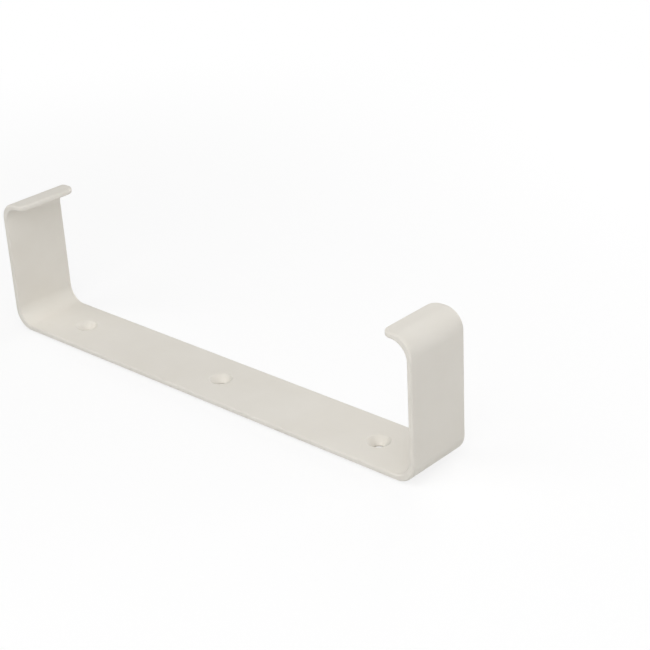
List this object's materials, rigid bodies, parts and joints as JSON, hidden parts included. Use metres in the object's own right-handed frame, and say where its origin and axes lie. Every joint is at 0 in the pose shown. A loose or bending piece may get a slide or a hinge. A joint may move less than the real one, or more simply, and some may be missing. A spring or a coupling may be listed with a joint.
{
  "type": "flat channel wall bracket",
  "caption": "One-piece white plastic C-shaped wall bracket with in-turned rounded lips and countersunk screw holes in its back, for holding a flat rectangular channel.",
  "frame": {"origin": "on the wall plane, under the middle of the back, where the three bosses touch the wall", "axes": "+X along the back, +Y across the strip, +Z away from the wall, up the arms"},
  "size_m": [0.2254, 0.03, 0.0602],
  "materials": {
    "plastic": "satin"
  },
  "bodies": {
    "root": {"bracket": "plastic"}
  },
  "joints": []
}
